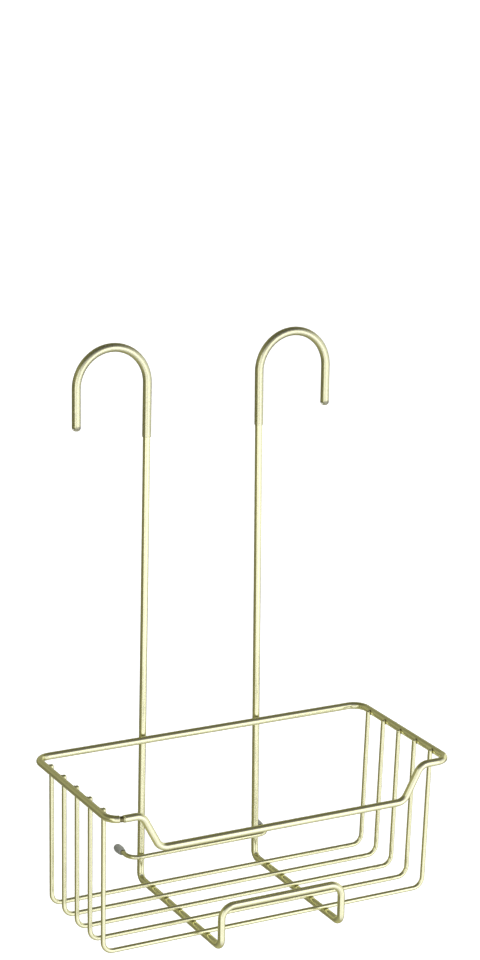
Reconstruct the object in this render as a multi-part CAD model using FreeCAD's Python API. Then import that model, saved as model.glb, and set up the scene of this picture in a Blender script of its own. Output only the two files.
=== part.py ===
import FreeCAD, Part
import math
import os

# Welded-wire shower caddy that hangs over the two wall unions of a bar mixer.
# Millimetres. The origin is midway between the centres of the two hooks.
# +X runs along the basket, +Y points back to the wall, +Z is up.

# Hanging
union_spacing = 150.0      # centre to centre of the two unions
hook_bend = 28.5           # radius of a hook, on the wire's centre line
hook_leg = 29.2            # outer leg, from the hook's centre down to its end
drop = 393.0               # hook centre down to the runners under the basket
upright_splay = 3.4        # each upright's foot outside its hook end

# Wire
frame_wire = 5.5           # hanger frame and rim
basket_wire = 3.5          # basket wires and bumper bar
weld_set = 0.3             # how far crossing wires are pressed into each other

# Basket
basket_length = 279.0      # rim, centre line to centre line
rim_reach = 139.0          # front of the rim, from the uprights
rim_rise = 115.5           # rim above the runners
rim_corner = 11.0          # bend at the rim's corners
wire_count = 5             # wires running the length of the basket
wire_pitch = 23.2
wire_taper = 1.3           # each basket wire is this much narrower at the floor
wire_stand = 1.8           # domed wire ends above the rim's centre line
wire_bend = 8.0            # where a basket wire turns up at each end

# Lowered front rail
dip_depth = 27.0           # rail below the rim
dip_shoulder = 24.7        # level rim from each end of the basket to its slope
dip_slope = 14.3           # how far each slope runs along the front
dip_bend = 9.0

# Hanger frame
runner_reach = 137.5       # front arch, from the uprights
runner_bend = 6.0          # upright to runner
toe_bend = 7.0             # runner to front arch
arch_rise = 32.0           # arch above the runners
arch_bend = 10.0

# Wall bumper
bumper_height = 19.5       # bar above the runners
bumper_side = 10.6         # bar's legs outside the uprights
bumper_bend = 9.5
wall_gap = 22.0            # uprights to the wall, centre line to wall face
tip_length = 12.0
tip_diameter = 6.8
tip_nose = 2.0             # rounding of a tip's wall end
tip_mouth = 1.1            # rounding of a tip's open end
tip_wall_end = 2.5         # rubber between the wire's end and the wall

# Hook sleeves
sleeve_wall = 0.5
sleeve_cap = 2.1           # closed end under the outer leg
sleeve_start = 41.0        # open end on the upright, below the hook's centre
sleeve_round = 2.4         # rounding of the closed end

push_clearance = 0.05      # radial, under the sleeves and tips
end_flat = 0.35            # radius of the flat left on a domed wire end

# Lines worked out from the sizes above
splay_angle = math.atan(upright_splay / drop)
hook_corner_x = union_spacing / 2 - hook_bend * math.tan(math.pi / 4 + splay_angle / 2)
leg_x = union_spacing / 2 + hook_bend
runner_z = -drop
rim_z = runner_z + rim_rise
arch_z = runner_z + arch_rise
rail_z = rim_z - dip_depth
rim_x = basket_length / 2
rim_rear_y = -(frame_wire - weld_set)
crossing = (frame_wire + basket_wire) / 2 - weld_set   # thick wire to thin wire
floor_z = runner_z + crossing
wire_top_x = rim_x - crossing
wire_top_y = (rim_rear_y - rim_reach) / 2      # middle of the rim
wire_floor_y = -runner_reach / 2               # middle of the runners
bumper_z = runner_z + bumper_height


def upright_x(z):
    """Centre line of the right-hand upright at one height."""
    return hook_corner_x + (hook_bend - z) * math.tan(splay_angle)


def point(x, y, z):
    return FreeCAD.Vector(x, y, z)


def mirrored(points):
    """The same points on the other side of the caddy, in reverse order."""
    return [point(-p.x, p.y, p.z) for p in reversed(points)]


def bend_at(before, corner, after, radius):
    """Start, middle and end of the arc that rounds a corner."""
    come = (before - corner).normalize()
    leave = (after - corner).normalize()
    half = come.getAngle(leave) / 2
    centre = corner + (come + leave).normalize() * (radius / math.sin(half))
    setback = radius / math.tan(half)
    middle = centre + (corner - centre).normalize() * radius
    return corner + come * setback, middle, corner + leave * setback


def bent_line(points, bends):
    """Straight runs joined by tangent arcs, one bend for each inner point."""
    edges = []
    here = points[0]
    for number, radius in enumerate(bends, start=1):
        start, middle, end = bend_at(*points[number - 1:number + 2], radius)
        if not here.isEqual(start, 1e-6):
            edges.append(Part.LineSegment(here, start).toShape())
        edges.append(Part.Arc(start, middle, end).toShape())
        here = end
    if not here.isEqual(points[-1], 1e-6):
        edges.append(Part.LineSegment(here, points[-1]).toShape())
    return Part.Wire(edges)


def round_bar(points, bends, diameter):
    """A round wire bent along a line."""
    circle = Part.makeCircle(diameter / 2, points[0], points[1] - points[0])
    swept = bent_line(points, bends).makePipeShell([Part.Wire(circle)], True, False)
    return swept.Solids[0]


def end_edges(shape, place):
    """The circular edges that lie around one point."""
    return [edge for edge in shape.Edges
            if edge.Curve.TypeId == "Part::GeomCircle"
            and edge.Curve.Center.isEqual(place, 1e-4)]


def with_domed_ends(shape, ends, radius):
    for place in ends:
        shape = shape.makeFillet(radius, end_edges(shape, place))
    return shape


def hook_points(lower_end, leg_end):
    """The right-hand hook, from the upright over the union to its outer leg."""
    return [point(upright_x(lower_end), 0, lower_end), point(hook_corner_x, 0, hook_bend),
            point(leg_x, 0, hook_bend), point(leg_x, 0, leg_end)]


def hanger_frame():
    """One wire: hook, upright, runner, front arch and back up the other side."""
    side = upright_x(runner_z)
    half = [point(side, -runner_reach, arch_z), point(side, -runner_reach, runner_z),
            *hook_points(runner_z, -hook_leg)]
    bends = [arch_bend, toe_bend, runner_bend, hook_bend, hook_bend]
    return round_bar(mirrored(half) + half, bends[::-1] + bends, frame_wire)


def basket_rim():
    """A closed loop with its front lowered to a rail, butt-welded at one corner."""
    low = rim_x - dip_shoulder - dip_slope
    corner = point(rim_x, -rim_reach, rim_z)
    rear = [point(0, rim_rear_y, rim_z), point(rim_x, rim_rear_y, rim_z), corner]
    dip = [point(low + dip_slope, -rim_reach, rim_z), point(low, -rim_reach, rail_z)]
    middle_front = point(0, -rim_reach, rail_z)
    bends = [rim_corner, rim_corner, dip_bend, dip_bend]
    right = round_bar(rear + dip + [middle_front], bends, frame_wire)
    left = right.mirror(point(0, 0, 0), point(1, 0, 0))
    return right.fuse(left).removeSplitter().Solids[0]


def basket_wire_at(offset):
    """Down one end of the basket, across the runners and up the other end."""
    half = [point(wire_top_x - wire_taper, wire_floor_y + offset, floor_z),
            point(wire_top_x, wire_top_y + offset, rim_z + wire_stand)]
    line = mirrored(half) + half
    wire = round_bar(line, [wire_bend, wire_bend], basket_wire)
    return with_domed_ends(wire, [line[0], line[-1]], basket_wire / 2 - end_flat)


def bumper_bar():
    """Across the front of both uprights, then back to the wall at each end."""
    leg = upright_x(bumper_z) + bumper_side
    half = [point(leg, -crossing, bumper_z), point(leg, wall_gap - tip_wall_end, bumper_z)]
    return round_bar(mirrored(half) + half, [bumper_bend, bumper_bend], basket_wire)


def bumper_tip():
    """A soft bulb pushed over the end of the bumper bar."""
    back = FreeCAD.Vector(0, 1, 0)
    leg = upright_x(bumper_z) + bumper_side
    mouth = point(leg, wall_gap - tip_length, bumper_z)
    bulb = Part.makeCylinder(tip_diameter / 2, tip_length, mouth, back)
    bulb = bulb.makeFillet(tip_nose, end_edges(bulb, point(leg, wall_gap, bumper_z)))
    bulb = bulb.makeFillet(tip_mouth, end_edges(bulb, mouth))
    bore = basket_wire / 2 + push_clearance
    depth = tip_length - tip_wall_end + push_clearance
    return bulb.cut(Part.makeCylinder(bore, depth, mouth, back))


def hook_sleeve():
    """A clear tube over a hook, closed under the outer leg."""
    wire_end = -hook_leg - push_clearance
    bore = frame_wire + 2 * push_clearance
    line = hook_points(-sleeve_start, wire_end - sleeve_cap)
    skin = round_bar(line, [hook_bend, hook_bend], bore + 2 * sleeve_wall)
    skin = skin.makeFillet(sleeve_round, end_edges(skin, line[-1]))
    hollow = round_bar(hook_points(-sleeve_start, wire_end), [hook_bend, hook_bend], bore)
    return skin.cut(hollow)


def pair(shape, name):
    """One right-hand piece and its mirror image."""
    return {"right_" + name: shape,
            "left_" + name: shape.mirror(point(0, 0, 0), point(1, 0, 0))}


frame = hanger_frame()
rim = basket_rim().cut(frame)
nodes = {"hanger_frame": frame, "basket_rim": rim, "bumper_bar": bumper_bar().cut(frame)}
for number in range(wire_count):
    wire = basket_wire_at(((wire_count - 1) / 2 - number) * wire_pitch)
    nodes[f"basket_wire_{number + 1}"] = wire.cut(frame).cut(rim)
nodes |= pair(hook_sleeve(), "hook_sleeve") | pair(bumper_tip(), "bumper_tip")

os.makedirs("parts", exist_ok=True)
for name, shape in nodes.items():
    print(name, shape.ShapeType, len(shape.Solids), shape.isValid(), round(shape.Volume, 1))
    shape.exportStep(f"parts/{name}.step")
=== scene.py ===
import math
import bmesh
import bpy
from mathutils import Matrix, Vector


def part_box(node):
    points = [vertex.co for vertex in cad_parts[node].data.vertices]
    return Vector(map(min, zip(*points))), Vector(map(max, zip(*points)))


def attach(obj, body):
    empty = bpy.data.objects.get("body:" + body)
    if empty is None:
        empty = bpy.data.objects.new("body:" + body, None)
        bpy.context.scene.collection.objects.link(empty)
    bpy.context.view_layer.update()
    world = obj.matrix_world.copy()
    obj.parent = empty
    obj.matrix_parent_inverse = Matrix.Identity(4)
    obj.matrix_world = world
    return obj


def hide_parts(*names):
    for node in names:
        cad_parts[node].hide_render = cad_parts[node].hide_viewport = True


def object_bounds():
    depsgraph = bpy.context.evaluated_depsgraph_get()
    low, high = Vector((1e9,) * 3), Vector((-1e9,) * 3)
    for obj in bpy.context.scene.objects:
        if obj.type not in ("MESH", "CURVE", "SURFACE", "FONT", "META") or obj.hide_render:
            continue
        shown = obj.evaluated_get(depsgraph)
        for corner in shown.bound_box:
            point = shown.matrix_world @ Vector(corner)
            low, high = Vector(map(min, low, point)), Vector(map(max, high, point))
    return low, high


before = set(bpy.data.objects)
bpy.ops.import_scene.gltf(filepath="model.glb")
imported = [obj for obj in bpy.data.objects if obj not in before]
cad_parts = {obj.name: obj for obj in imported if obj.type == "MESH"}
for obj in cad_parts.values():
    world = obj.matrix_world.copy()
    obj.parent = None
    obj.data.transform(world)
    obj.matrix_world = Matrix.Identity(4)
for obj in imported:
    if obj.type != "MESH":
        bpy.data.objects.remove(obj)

# A welded-wire shower caddy in pale gold, hung by two sleeved hooks.
# Everything is in metres in the CAD frame; sizes in the dictionaries are in millimetres,
# unless a note says metres.
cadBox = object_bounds()
mm = 0.001
print("frame loaded")


def linear(hexColour):
    # sRGB hex to the linear values that shaders take
    parts = [int(hexColour[i:i + 2], 16) / 255 for i in (0, 2, 4)]
    return [c / 12.92 if c <= 0.04045 else ((c + 0.055) / 1.055) ** 2.4 for c in parts] + [1]


# Adds a node with its links and values; sockets 6 and 7 of a colour mix are its two colours
def node(tree, kind, links=None, values=None, **settings):
    made = tree.nodes.new(kind)
    for name, value in settings.items():
        setattr(made, name, value)
    for socket, value in (values or {}).items():
        made.inputs[socket].default_value = value
    for socket, source in (links or {}).items():
        tree.links.new(source, made.inputs[socket])
    return made


def newMaterial(name, **values):
    material = bpy.data.materials.new(name)
    material.use_nodes = True
    tree = material.node_tree
    surface = tree.nodes["Principled BSDF"]
    for socket, value in values.items():
        surface.inputs[socket.replace("_", " ")].default_value = value
    return material, tree, surface


goldPlating = {
    "colour": "f1f0c2", "warm": "e5e3b2",
    "roughness": (0.13, 0.22), "markRange": (0.3, 0.7),    # glossiest and dullest, between these marks
    "drawLine": 0.45,        # spacing of the drawing marks round the wire; the real ones are about 0.05
    "drawLength": 60,        # how long one mark runs
    "mark": 0.012, "markStrength": 0.25,                   # depth of the marks
    "peel": 2.2, "peelDepth": 0.02,                        # the plating's slight orange peel
    "cloud": 2.6,            # size of the slight changes in tone
}


# Pale gold plating on drawn steel wire: bright, a little soft, with fine marks along its length
def drawnGoldWire(look):
    material, tree, surface = newMaterial("drawnGoldWire", Metallic=1)
    drawn = node(tree, "ShaderNodeAttribute", attribute_name="drawn")
    lineScale = 1 / (look["drawLine"] * mm)
    streaks = node(tree, "ShaderNodeMapping", {"Vector": drawn.outputs["Vector"]},
                   {"Scale": (lineScale, lineScale, 1 / (look["drawLength"] * mm))})
    lines = node(tree, "ShaderNodeTexNoise", {"Vector": streaks.outputs["Vector"]},
                 {"Scale": 1, "Detail": 3})
    place = node(tree, "ShaderNodeTexCoord")
    clouds = node(tree, "ShaderNodeTexNoise", {"Vector": place.outputs["Object"]},
                  {"Scale": 1 / (look["cloud"] * mm), "Detail": 3})
    tone = node(tree, "ShaderNodeMix", {0: clouds.outputs["Fac"]},
                {6: linear(look["colour"]), 7: linear(look["warm"])}, data_type="RGBA")
    gloss = node(tree, "ShaderNodeMapRange", {"Value": lines.outputs["Fac"]},
                 {"From Min": look["markRange"][0], "From Max": look["markRange"][1],
                  "To Min": look["roughness"][0], "To Max": look["roughness"][1]})
    marks = node(tree, "ShaderNodeBump", {"Height": lines.outputs["Fac"]},
                 {"Strength": look["markStrength"], "Distance": look["mark"] * mm})
    peel = node(tree, "ShaderNodeTexNoise", {"Vector": place.outputs["Object"]},
                {"Scale": 1 / (look["peel"] * mm), "Detail": 1})
    relief = node(tree, "ShaderNodeBump", {"Height": peel.outputs["Fac"],
                                           "Normal": marks.outputs["Normal"]},
                  {"Strength": 1, "Distance": look["peelDepth"] * mm})
    tree.links.new(tone.outputs[2], surface.inputs["Base Color"])
    tree.links.new(gloss.outputs["Result"], surface.inputs["Roughness"])
    tree.links.new(relief.outputs["Normal"], surface.inputs["Normal"])
    return material


weldPlating = {
    "tones": ("9f9a68", "65603c"), "roughness": 0.3,
    "grain": 0.5, "grainDepth": 0.1, "grainStrength": 0.5,
}


# Resistance weld under the same plating: rougher and darker where the metal flowed
def platedWeld(look):
    material, tree, surface = newMaterial("platedWeld", Metallic=1, Roughness=look["roughness"])
    place = node(tree, "ShaderNodeTexCoord")
    grain = node(tree, "ShaderNodeTexNoise", {"Vector": place.outputs["Object"]},
                 {"Scale": 1 / (look["grain"] * mm), "Detail": 4})
    tone = node(tree, "ShaderNodeMix", {0: grain.outputs["Fac"]},
                {6: linear(look["tones"][0]), 7: linear(look["tones"][1])}, data_type="RGBA")
    relief = node(tree, "ShaderNodeBump", {"Height": grain.outputs["Fac"]},
                  {"Strength": look["grainStrength"], "Distance": look["grainDepth"] * mm})
    tree.links.new(tone.outputs[2], surface.inputs["Base Color"])
    tree.links.new(relief.outputs["Normal"], surface.inputs["Normal"])
    return material


softTube = {"colour": "fbfbf9", "ior": 1.5, "haze": 6, "roughness": (0.03, 0.12)}


# Soft clear PVC tube: it bends the light like thick glass, so the wire fills it and its edges go dark
def clearTube(look):
    material, tree, surface = newMaterial("clearPvcTube", Base_Color=linear(look["colour"]),
                                          IOR=look["ior"], Transmission_Weight=1)
    place = node(tree, "ShaderNodeTexCoord")
    haze = node(tree, "ShaderNodeTexNoise", {"Vector": place.outputs["Object"]},
                {"Scale": 1 / (look["haze"] * mm), "Detail": 2})
    gloss = node(tree, "ShaderNodeMapRange", {"Value": haze.outputs["Fac"]},
                 {"To Min": look["roughness"][0], "To Max": look["roughness"][1]})
    tree.links.new(gloss.outputs["Result"], surface.inputs["Roughness"])
    return material


tipSilicone = {
    "tones": ("92948c", "a9aba2"), "roughness": 0.4, "ior": 1.41,
    "scatter": 0.35, "scatterReach": (1.2, 1.2, 1.1),      # share of the light, and how far it goes
    "bloom": 1.6, "bloomDepth": 0.05, "bloomStrength": 0.2,
}


# Grey translucent silicone, moulded: soft sheen, light that scatters inside
def greySilicone(look):
    material, tree, surface = newMaterial(
        "greySilicone", Roughness=look["roughness"], IOR=look["ior"],
        Subsurface_Weight=look["scatter"], Subsurface_Radius=look["scatterReach"],
        Subsurface_Scale=mm)
    place = node(tree, "ShaderNodeTexCoord")
    bloom = node(tree, "ShaderNodeTexNoise", {"Vector": place.outputs["Object"]},
                 {"Scale": 1 / (look["bloom"] * mm), "Detail": 4})
    tone = node(tree, "ShaderNodeMix", {0: bloom.outputs["Fac"]},
                {6: linear(look["tones"][0]), 7: linear(look["tones"][1])}, data_type="RGBA")
    relief = node(tree, "ShaderNodeBump", {"Height": bloom.outputs["Fac"]},
                  {"Strength": look["bloomStrength"], "Distance": look["bloomDepth"] * mm})
    tree.links.new(tone.outputs[2], surface.inputs["Base Color"])
    tree.links.new(relief.outputs["Normal"], surface.inputs["Normal"])
    return material


goldWire = drawnGoldWire(goldPlating)
weldMetal = platedWeld(weldPlating)
sleevePlastic = clearTube(softTube)
tipRubber = greySilicone(tipSilicone)
print("materials made")


bendStep = math.radians(6)      # how finely a bend is turned
wireSides = 32
endSteps = 6                    # faces across a wire end's rounded edge
beadDivisions = 3               # how finely a weld bead is divided
holdRing = 3 * mm               # a ring this near each bend keeps the straight runs' shading straight
samePlace = 0.001 * mm          # anything nearer than this is one place
alongX, alongY, alongZ = Vector((1, 0, 0)), Vector((0, 1, 0)), Vector((0, 0, 1))


# Centre, axis and angle of the bend that rounds a corner, and where it starts and ends
def bendAt(before, corner, after, radius):
    come = (corner - before).normalized()
    leave = (after - corner).normalized()
    angle = come.angle(leave)
    setback = radius * math.tan(angle / 2)
    start, end = corner - come * setback, corner + leave * setback
    axis = come.cross(leave).normalized()
    centre = start + axis.cross(come) * radius
    return start, end, centre, axis, angle


# Pulls or turns the open ring at the end of a wire into its next ring
def nextRing(bm, wire, length, move):
    grown = bmesh.ops.extrude_edge_only(bm, edges=wire["ring"])["geom"]
    verts = [part for part in grown if isinstance(part, bmesh.types.BMVert)]
    corners = set(verts)
    wire["ring"] = [part for part in grown if isinstance(part, bmesh.types.BMEdge)
                    and part.verts[0] in corners and part.verts[1] in corners]
    wire["along"] += length
    for vert in verts:
        drawn = vert[wire["layer"]]
        vert[wire["layer"]] = (drawn.x, drawn.y, wire["along"])
    move(verts)


# A wire's first ring; the drawn attribute is a point's place across the wire and how far along it is
def startWire(bm, place, direction, radius):
    layer = bm.verts.layers.float_vector.get("drawn") or bm.verts.layers.float_vector.new("drawn")
    turned = alongZ.rotation_difference(direction).to_matrix().to_4x4()
    verts = bmesh.ops.create_circle(bm, segments=wireSides, radius=radius)["verts"]
    for vert in verts:
        vert[layer] = vert.co
    bmesh.ops.transform(bm, matrix=Matrix.Translation(place) @ turned, verts=verts)
    ring = list(dict.fromkeys(edge for vert in verts for edge in vert.link_edges))
    return {"layer": layer, "firstRing": ring, "ring": ring, "along": 0.0}


# One round wire, pulled straight along each run and turned round each bend
def sweepWire(bm, points, bends, radius):
    wire = startWire(bm, points[0], (points[1] - points[0]).normalized(), radius)
    here = points[0]

    def pull(run):
        if run.length < samePlace:
            return
        held = [holdRing, run.length - 2 * holdRing, holdRing]
        for length in held if run.length > 3 * holdRing else [run.length]:
            step = run.normalized() * length
            nextRing(bm, wire, length,
                     lambda verts: bmesh.ops.translate(bm, vec=step, verts=verts))

    for number, bend in enumerate(bends, start=1):
        start, end, centre, axis, angle = bendAt(*points[number - 1:number + 2], bend)
        pull(start - here)
        steps = math.ceil(angle / bendStep)
        turn = Matrix.Rotation(angle / steps, 3, axis)
        for _ in range(steps):
            nextRing(bm, wire, bend * angle / steps,
                     lambda verts: bmesh.ops.rotate(bm, cent=centre, matrix=turn, verts=verts))
        here = end
    pull(points[-1] - here)
    return wire


# Closes an open ring and rounds its edge
def roundEnd(bm, ring, rounding):
    cap = bmesh.ops.edgeloop_fill(bm, edges=ring)["faces"]
    rim = list(dict.fromkeys(edge for face in cap for edge in face.edges))
    bmesh.ops.bevel(bm, geom=rim, offset=rounding, segments=endSteps, profile=0.5, affect="EDGES",
                    material=-1, offset_type="OFFSET")


# One round wire with both its ends closed and rounded
def roundedWire(bm, points, bends, radius, rounding):
    wire = sweepWire(bm, points, bends, radius)
    for ring in (wire["firstRing"], wire["ring"]):
        roundEnd(bm, ring, rounding)


def useSecondMaterial(verts):
    for face in {face for vert in verts for face in vert.link_faces}:
        face.material_index = 1


# A weld's squeezed-out metal: a flat bead between two crossing wires
def weldBead(bm, place, along, normal, size):
    side = along.cross(normal).normalized()
    turned = Matrix((side, along, normal)).transposed().to_4x4()
    shape = Matrix.Diagonal((*[s * mm / 2 for s in size], 1))
    bead = bmesh.ops.create_icosphere(bm, subdivisions=beadDivisions, radius=1,
                                      matrix=Matrix.Translation(place) @ turned @ shape)
    useSecondMaterial(bead["verts"])


# The weld core in the groove where a wire's two ends meet
def weldCore(bm, place, direction, wide, radius):
    turned = alongZ.rotation_difference(direction).to_matrix().to_4x4()
    core = bmesh.ops.create_cone(bm, segments=wireSides, radius1=radius, radius2=radius, depth=wide,
                                 matrix=Matrix.Translation(place) @ turned)
    useSecondMaterial(core["verts"])


# The same points on the left, in reverse, so that both halves join into one run
def mirrored(points):
    return [Vector((-p.x, p.y, p.z)) for p in reversed(points)]


def finishPiece(bm, name, materials, slot, *replaced):
    bmesh.ops.remove_doubles(bm, verts=bm.verts, dist=samePlace)
    bmesh.ops.recalc_face_normals(bm, faces=bm.faces)
    mesh = bpy.data.meshes.new(name)
    bm.to_mesh(mesh)
    bm.free()
    for material in materials:
        mesh.materials.append(material)
    for face in mesh.polygons:
        face.use_smooth = True
    piece = bpy.data.objects.new(name, mesh)
    bpy.context.scene.collection.objects.link(piece)
    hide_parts(*replaced)
    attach(piece, "root")
    return piece


hanger = {
    "runnerBend": 6, "toeBend": 7, "archBend": 10,         # from the wall forward, then up
    "archRise": 32,          # arch above the runners
    "splay": 3.4,            # each upright's foot outside its hook end
    "legBelow": 29.2,        # outer leg's end below the hook's centre
    "endRound": 0.6,
}
hangerLow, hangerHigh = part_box("hanger_frame")
frameWire = 2 * hangerHigh.y
hookBend = hangerHigh.z - frameWire / 2
legX = hangerHigh.x - frameWire / 2
hookX = legX - hookBend
runnerZ = hangerLow.z + frameWire / 2
runnerFront = hangerLow.y + frameWire / 2
splayAngle = math.atan(-hanger["splay"] * mm / runnerZ)
hookCornerX = hookX - hookBend * math.tan(math.pi / 4 + splayAngle / 2)


# How far the right upright stands from the middle at a height
def uprightX(z):
    return hookCornerX + (hookBend - z) * math.tan(splayAngle)


# The right-hand hook, from the upright over the top to its outer leg
def hookPoints(lowerEnd, legEnd):
    return [Vector((uprightX(lowerEnd), 0, lowerEnd)), Vector((hookCornerX, 0, hookBend)),
            Vector((legX, 0, hookBend)), Vector((legX, 0, legEnd))]


def makeHangerFrame(size):
    side = uprightX(runnerZ)
    archZ = runnerZ + size["archRise"] * mm
    half = [Vector((side, runnerFront, archZ)), Vector((side, runnerFront, runnerZ)),
            *hookPoints(runnerZ, -size["legBelow"] * mm)]
    bends = [size["archBend"] * mm, size["toeBend"] * mm, size["runnerBend"] * mm,
             hookBend, hookBend]
    bm = bmesh.new()
    roundedWire(bm, mirrored(half) + half, bends[::-1] + bends, frameWire / 2,
                size["endRound"] * mm)
    finishPiece(bm, "hangerFrameWire", [goldWire], "frame_wire", "hanger_frame")


makeHangerFrame(hanger)
print("hanger frame made")


rim = {
    "corner": 11, "dipBend": 9,
    "dipLength": 201, "dipSlope": 14.3,      # the lowered rail, and each slope's length along it
    "buttTurn": 12,          # butt weld, degrees round the front left corner from its front end
    "buttGap": 2.2, "endRound": 0.8,         # between the wire's two ends, and their rounded edges
    "groove": 0.55, "coreLong": 3.6,         # the weld core: how far it lies sunk, and its length
    "bead": (5, 5, 1.5),     # across, along and through the joint
}
rimLow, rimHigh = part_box("basket_rim")
rimX = rimHigh.x - frameWire / 2
rimZ = rimHigh.z - frameWire / 2
railZ = rimLow.z + frameWire / 2
rimRear = rimHigh.y - frameWire / 2
rimFront = rimLow.y + frameWire / 2


# A place on the rim's front left corner and the way the wire runs there, so far round from its front end
def onCorner(turn, radius):
    middle = Vector((-rimX + radius, rimFront + radius, rimZ))
    along = Vector((math.cos(turn), -math.sin(turn), 0))
    return middle + Vector((-math.sin(turn), -math.cos(turn), 0)) * radius, along


def makeRim(size):
    railX = size["dipLength"] * mm / 2
    riseX = railX + size["dipSlope"] * mm
    corner = size["corner"] * mm
    buttTurn = math.radians(size["buttTurn"])
    halfGap = size["buttGap"] * mm / 2 / corner
    first, firstWay = onCorner(buttTurn - halfGap, corner)
    last, lastWay = onCorner(buttTurn + halfGap, corner)
    frontCorner = first + firstWay * corner * math.tan((buttTurn - halfGap) / 2)
    sideCorner = last - lastWay * corner * math.tan((math.pi / 2 - buttTurn - halfGap) / 2)
    points = [first, frontCorner, Vector((-riseX, rimFront, rimZ)), Vector((-railX, rimFront, railZ)),
              Vector((railX, rimFront, railZ)), Vector((riseX, rimFront, rimZ)),
              Vector((rimX, rimFront, rimZ)), Vector((rimX, rimRear, rimZ)),
              Vector((-rimX, rimRear, rimZ)), sideCorner, last]
    bends = [corner] + [size["dipBend"] * mm] * 4 + [corner] * 4
    bm = bmesh.new()
    roundedWire(bm, points, bends, frameWire / 2, size["endRound"] * mm)
    weldCore(bm, *onCorner(buttTurn, corner), size["coreLong"] * mm,
             frameWire / 2 - size["groove"] * mm)
    for side in (-1, 1):
        onUpright = Vector((side * uprightX(rimZ), rimRear / 2, rimZ))
        weldBead(bm, onUpright, alongX, alongY, size["bead"])
    finishPiece(bm, "basketRimWire", [goldWire, weldMetal], "frame_wire", "basket_rim")


makeRim(rim)
print("rim made")


basketWires = {
    "count": 5, "bend": 8,
    "taper": 1.3,            # narrower at the floor than at the rim, at each end
    "endRound": 1.45,
    "bead": (3.6, 4.4, 1.3),
}
bumperLow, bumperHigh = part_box("bumper_bar")
thinWire = bumperHigh.z - bumperLow.z


def makeBasketWire(number, size):
    name = f"basket_wire_{number}"
    low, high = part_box(name)
    topX = high.x - thinWire / 2
    floorX = topX - size["taper"] * mm
    floorZ = low.z + thinWire / 2
    topY, floorY = low.y + thinWire / 2, high.y - thinWire / 2
    top, floor = Vector((topX, topY, high.z)), Vector((floorX, floorY, floorZ))
    bm = bmesh.new()
    roundedWire(bm, mirrored([floor, top]) + [floor, top], [size["bend"] * mm] * 2, thinWire / 2,
                size["endRound"] * mm)
    lean = (top - floor).normalized()
    atRim = floor.lerp(top, (rimZ - floorZ) / (high.z - floorZ))
    for side in (-1, 1):
        onRunner = Vector((side * uprightX(runnerZ), floorY, (floorZ + runnerZ) / 2
                           + (frameWire - thinWire) / 4))
        weldBead(bm, onRunner, alongX, alongZ, size["bead"])
        onRim = Vector((side * (atRim.x + thinWire / 2), atRim.y, rimZ))
        weldBead(bm, onRim, Vector((side * lean.x, lean.y, lean.z)), alongX, size["bead"])
    finishPiece(bm, f"basketWire{number}", [goldWire, weldMetal], "basket_wire", name)


for number in range(1, basketWires["count"] + 1):
    makeBasketWire(number, basketWires)
print("basket wires made")


bumper = {
    "bend": 9.5, "endRound": 0.4,
    "bead": (3.6, 4.4, 1.3), "sunk": 0.15,   # the weld lies this far inside the uprights' surface
}
bumperZ = (bumperLow.z + bumperHigh.z) / 2
bumperY = bumperLow.y + thinWire / 2
bumperLegX = bumperHigh.x - thinWire / 2


def makeBumperBar(size):
    half = [Vector((bumperLegX, bumperY, bumperZ)), Vector((bumperLegX, bumperHigh.y, bumperZ))]
    bm = bmesh.new()
    roundedWire(bm, mirrored(half) + half, [size["bend"] * mm] * 2, thinWire / 2,
                size["endRound"] * mm)
    for side in (-1, 1):
        onUpright = Vector((side * uprightX(bumperZ), -frameWire / 2 + size["sunk"] * mm, bumperZ))
        weldBead(bm, onUpright, alongX, alongY, size["bead"])
    finishPiece(bm, "bumperBarWire", [goldWire, weldMetal], "basket_wire", "bumper_bar")


makeBumperBar(bumper)

tip = {
    # distance from the mouth and radius, as shares of the tip's length and radius
    "outline": ((0.02, 0.62), (0.0, 0.72), (0.07, 0.84), (0.25, 0.93), (0.5, 1.0), (0.78, 1.0),
                (0.93, 0.84), (0.985, 0.6), (1.0, 0.4)),
    "bore": (0.7, 0.35, 0.05), "gap": 0.05,  # rings along the bore, from its end; gap to the wire
    "sides": 24, "subdivide": 2,
}


def makeTip(side, size):
    low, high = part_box(side + "_bumper_tip")
    middle = (low + high) / 2
    long, radius = high.y - low.y, (high.z - low.z) / 2
    bm = bmesh.new()
    mouth = Vector((middle.x, low.y, middle.z))
    wallEnd = mouth + Vector((0, long, 0))
    boreRadius = thinWire / 2 + size["gap"] * mm
    inside = [mouth + Vector((boreRadius, depth * long, 0)) for depth in size["bore"]]
    outside = [mouth + Vector((wide * radius, depth * long, 0)) for depth, wide in size["outline"]]
    verts = [bm.verts.new(place) for place in inside + outside + [wallEnd]]
    edges = [bm.edges.new(pair) for pair in zip(verts, verts[1:])]
    bmesh.ops.spin(bm, geom=verts + edges, cent=mouth, axis=alongY, angle=math.tau,
                   steps=size["sides"], use_merge=True)
    bmesh.ops.remove_doubles(bm, verts=bm.verts, dist=samePlace)
    boreEnd = [edge for edge in bm.edges if edge.is_boundary]
    bmesh.ops.edgeloop_fill(bm, edges=boreEnd)
    piece = finishPiece(bm, side + "BumperTip", [tipRubber], "bumper_rubber",
                        side + "_bumper_tip")
    rounding = piece.modifiers.new("rounding", "SUBSURF")
    rounding.levels = rounding.render_levels = size["subdivide"]


for side in ("left", "right"):
    makeTip(side, tip)
print("bumper made")


sleeve = {
    "wall": 0.5, "cap": 2.1,                 # the tube's wall, and how thick its closed end is
    "endRound": 2.4, "gap": 0.05,            # the closed end's edge, and its gap to the wire's end
}


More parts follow.
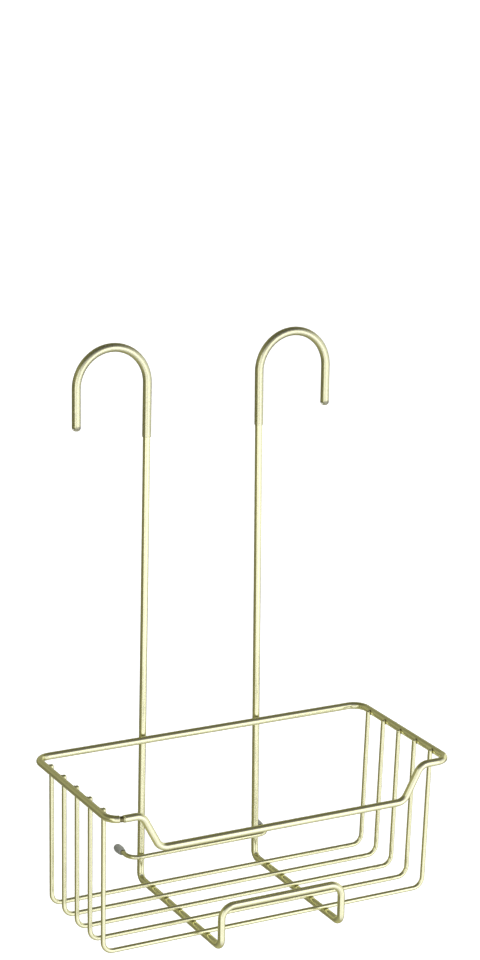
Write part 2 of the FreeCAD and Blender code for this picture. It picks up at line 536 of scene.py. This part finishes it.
def makeSleeve(side, size):
    low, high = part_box(side + "_hook_sleeve")
    facing = 1 if side == "right" else -1
    outer = high.y
    inner = outer - size["wall"] * mm
    legEnd = -hanger["legBelow"] * mm - size["gap"] * mm
    bm = bmesh.new()
    bends = [hookBend, hookBend]

    def onSide(points):
        return [Vector((facing * p.x, p.y, p.z)) for p in points]

    skin = sweepWire(bm, onSide(hookPoints(low.z, legEnd - size["cap"] * mm)), bends, outer)
    roundEnd(bm, skin["ring"], size["endRound"] * mm)
    hollow = sweepWire(bm, onSide(hookPoints(low.z, legEnd)), bends, inner)
    bmesh.ops.edgeloop_fill(bm, edges=hollow["ring"])
    mouth = skin["firstRing"] + hollow["firstRing"]
    for edge in mouth:
        edge.smooth = False
    bmesh.ops.bridge_loops(bm, edges=mouth)
    finishPiece(bm, side + "HookSleeve", [sleevePlastic], "clear_sleeve", side + "_hook_sleeve")


for side in ("left", "right"):
    makeSleeve(side, sleeve)
print("sleeves made")


stage = {
    "floorBelow": 1.2,       # metres from the caddy down to the floor
    "floorWide": 120,        # metres
    "floorGlow": 0.45, "floorGrain": 500, "floorTones": ("f2f2f1", "f6f6f5"),
    "fill": 0.3, "frontFill": 1.8,           # light on matt surfaces, and how much more from the front
    "backdrop": 1.05,
    "front": (0.27, -0.963, 0),              # the way to the light side of the room
    "frontEdge": (0.12, 0.42),               # where it begins and is full: cosines of the angle to it
    "lightest": 1.4,         # more than any light in the bands, because the ramp ends at 1
    "cool": "f0f0ff", "warm": "fffdd4",      # colours of the light side and of the dim room
    "throughTube": 0.9,      # how much of the dim light reaches the eye through the clear tubes
    # sine of the elevation, how light it is there behind the caddy, and how much lighter in front
    "bands": ((-1, 0.5, 0.1), (-0.85, 0.48, 0.5), (-0.65, 0.38, 0.85), (-0.35, 0.23, 1.2),
              (-0.1, 0.22, 1.1), (0.2, 0.37, 0.75), (0.45, 0.36, 0.3), (0.72, 0.18, 0.06),
              (1, 0.14, 0)),
}
# where each softbox stands and faces, in metres, its width and height, and its watts
softboxes = {
    "leftSoftbox": ((-1.36, -0.85, 0.07), (0, 0, 0.07), (0.68, 1.3), 1.6),
    "backSoftbox": ((1.55, 0.5, 0), (0, 0, -0.1), (1.3, 1.3), 3),
    "frontSoftbox": ((0.69, -1.45, -0.15), (0, 0, -0.15), (0.68, 1.3), 2),
}


# A lit acrylic sweep, pale and matt
def litFloor(size):
    material, tree, surface = newMaterial(
        "paleAcrylicFloor", Roughness=0.9, Emission_Color=linear("ffffff"),
        Emission_Strength=size["floorGlow"])
    place = node(tree, "ShaderNodeTexCoord")
    grain = node(tree, "ShaderNodeTexNoise", {"Vector": place.outputs["Object"]},
                 {"Scale": 1 / (size["floorGrain"] * mm), "Detail": 3})
    tone = node(tree, "ShaderNodeMix", {0: grain.outputs["Fac"]},
                {6: linear(size["floorTones"][0]), 7: linear(size["floorTones"][1])},
                data_type="RGBA")
    tree.links.new(tone.outputs[2], surface.inputs["Base Color"])
    return material


def makeFloor(size):
    bm = bmesh.new()
    level = cadBox[0][2] - size["floorBelow"]
    bmesh.ops.create_grid(bm, x_segments=4, y_segments=4, size=size["floorWide"] / 2,
                          matrix=Matrix.Translation(alongZ * level))
    mesh = bpy.data.meshes.new("floor")
    bm.to_mesh(mesh)
    bm.free()
    mesh.materials.append(litFloor(size))
    floor = bpy.data.objects.new("floor", mesh)
    floor.visible_glossy = floor.visible_diffuse = floor.visible_transmission = False
    bpy.context.scene.collection.objects.link(floor)


# The studio that the metal mirrors: lightest low in front of the caddy, dim behind it and overhead
def makeWorld(size):
    world = bpy.data.worlds.new("studio")
    bpy.context.scene.world = world
    world.use_nodes = True
    tree = world.node_tree
    towards = node(tree, "ShaderNodeTexCoord").outputs["Generated"]
    halfHeight = node(tree, "ShaderNodeVectorMath", {0: towards}, {1: (0, 0, 0.5)},
                      operation="DOT_PRODUCT")
    level = node(tree, "ShaderNodeMath", {0: halfHeight.outputs["Value"]}, {1: 0.5},
                 operation="ADD")        # 0 straight down, 1 straight up
    ramp = node(tree, "ShaderNodeValToRGB", {0: level.outputs[0]})
    ramp.color_ramp.interpolation = "EASE"
    stops = ramp.color_ramp.elements
    for number, (sine, dim, light) in enumerate(size["bands"]):
        stop = stops[number] if number < 2 else stops.new(1)
        stop.position = (sine + 1) / 2
        stop.color = (dim / size["lightest"], light / size["lightest"], 0, 1)
    bands = node(tree, "ShaderNodeSeparateColor", {0: ramp.outputs[0]})
    facing = node(tree, "ShaderNodeVectorMath", {0: towards}, {1: size["front"]},
                  operation="DOT_PRODUCT")
    front = node(tree, "ShaderNodeMapRange", {"Value": facing.outputs["Value"]},
                 {"From Min": size["frontEdge"][0], "From Max": size["frontEdge"][1]},
                 interpolation_type="SMOOTHSTEP")
    ray = node(tree, "ShaderNodeLightPath")
    tube = node(tree, "ShaderNodeMapRange", {"Value": ray.outputs["Is Transmission Ray"]},
                {"To Min": 1, "To Max": size["throughTube"]})
    dim = node(tree, "ShaderNodeMath", {0: bands.outputs[0], 1: tube.outputs[0]},
               operation="MULTIPLY")
    light = node(tree, "ShaderNodeMath", {0: bands.outputs[1], 1: front.outputs[0],
                                          2: dim.outputs[0]}, operation="MULTIPLY_ADD")
    strength = node(tree, "ShaderNodeMath", {0: light.outputs[0]}, {1: size["lightest"]},
                    operation="MULTIPLY")
    shade = node(tree, "ShaderNodeMix", {0: front.outputs[0]},
                 {6: linear(size["warm"]), 7: linear(size["cool"])}, data_type="RGBA")
    room = node(tree, "ShaderNodeBackground", {"Strength": strength.outputs[0],
                                               "Color": shade.outputs[2]})
    facingFill = node(tree, "ShaderNodeMath", {0: front.outputs[0]},
                      {1: size["frontFill"], 2: size["fill"]}, operation="MULTIPLY_ADD")
    fill = node(tree, "ShaderNodeBackground", {"Strength": facingFill.outputs[0]},
                {"Color": linear("ffffff")})
    backdrop = node(tree, "ShaderNodeBackground", values={"Color": linear("ffffff"),
                                                          "Strength": size["backdrop"]})
    matt = node(tree, "ShaderNodeMixShader", {0: ray.outputs["Is Diffuse Ray"],
                                              1: room.outputs[0], 2: fill.outputs[0]})
    seen = node(tree, "ShaderNodeMixShader", {0: ray.outputs["Is Camera Ray"],
                                              1: matt.outputs[0], 2: backdrop.outputs[0]})
    tree.links.new(seen.outputs[0], tree.nodes["World Output"].inputs["Surface"])


def makeSoftbox(name, place, target, size, power):
    light = bpy.data.lights.new(name, "AREA")
    light.shape = "RECTANGLE"
    light.size, light.size_y = size
    light.energy = power
    lamp = bpy.data.objects.new(name, light)
    lamp.location = place
    lamp.rotation_euler = (Vector(target) - Vector(place)).to_track_quat("-Z", "Y").to_euler()
    bpy.context.scene.collection.objects.link(lamp)


makeFloor(stage)
makeWorld(stage)
for name, settings in softboxes.items():
    makeSoftbox(name, *settings)
bpy.context.scene.view_settings.view_transform = "Standard"

view = {
    "lens": 95.18, "sensor": 36,             # the sensor's height
    "azimuth": 27.67, "elevation": 14.97, "roll": 0.9,
    "distance": 1921.4, "target": (31.66, 0, -82.94),
    "farthest": 200,         # how far it sees, in metres: past the floor's edge
}


def makeCamera(size):
    azimuth, elevation, roll = (math.radians(size[name]) for name in ("azimuth", "elevation", "roll"))
    forward = Vector((math.sin(azimuth) * math.cos(elevation),
                      math.cos(azimuth) * math.cos(elevation), -math.sin(elevation)))
    level = Vector((math.cos(azimuth), -math.sin(azimuth), 0))
    right = Matrix.Rotation(-roll, 3, forward) @ level
    up = right.cross(forward)
    data = bpy.data.cameras.new("camera")
    data.sensor_fit = "VERTICAL"
    data.sensor_height = size["sensor"]
    data.lens = size["lens"]
    data.clip_end = size["farthest"]
    camera = bpy.data.objects.new("camera", data)
    turned = Matrix((right, up, -forward)).transposed().to_4x4()
    place = Vector(size["target"]) * mm - forward * size["distance"] * mm
    camera.matrix_world = Matrix.Translation(place) @ turned
    bpy.context.scene.collection.objects.link(camera)
    bpy.context.scene.camera = camera


makeCamera(view)
print("stage made")
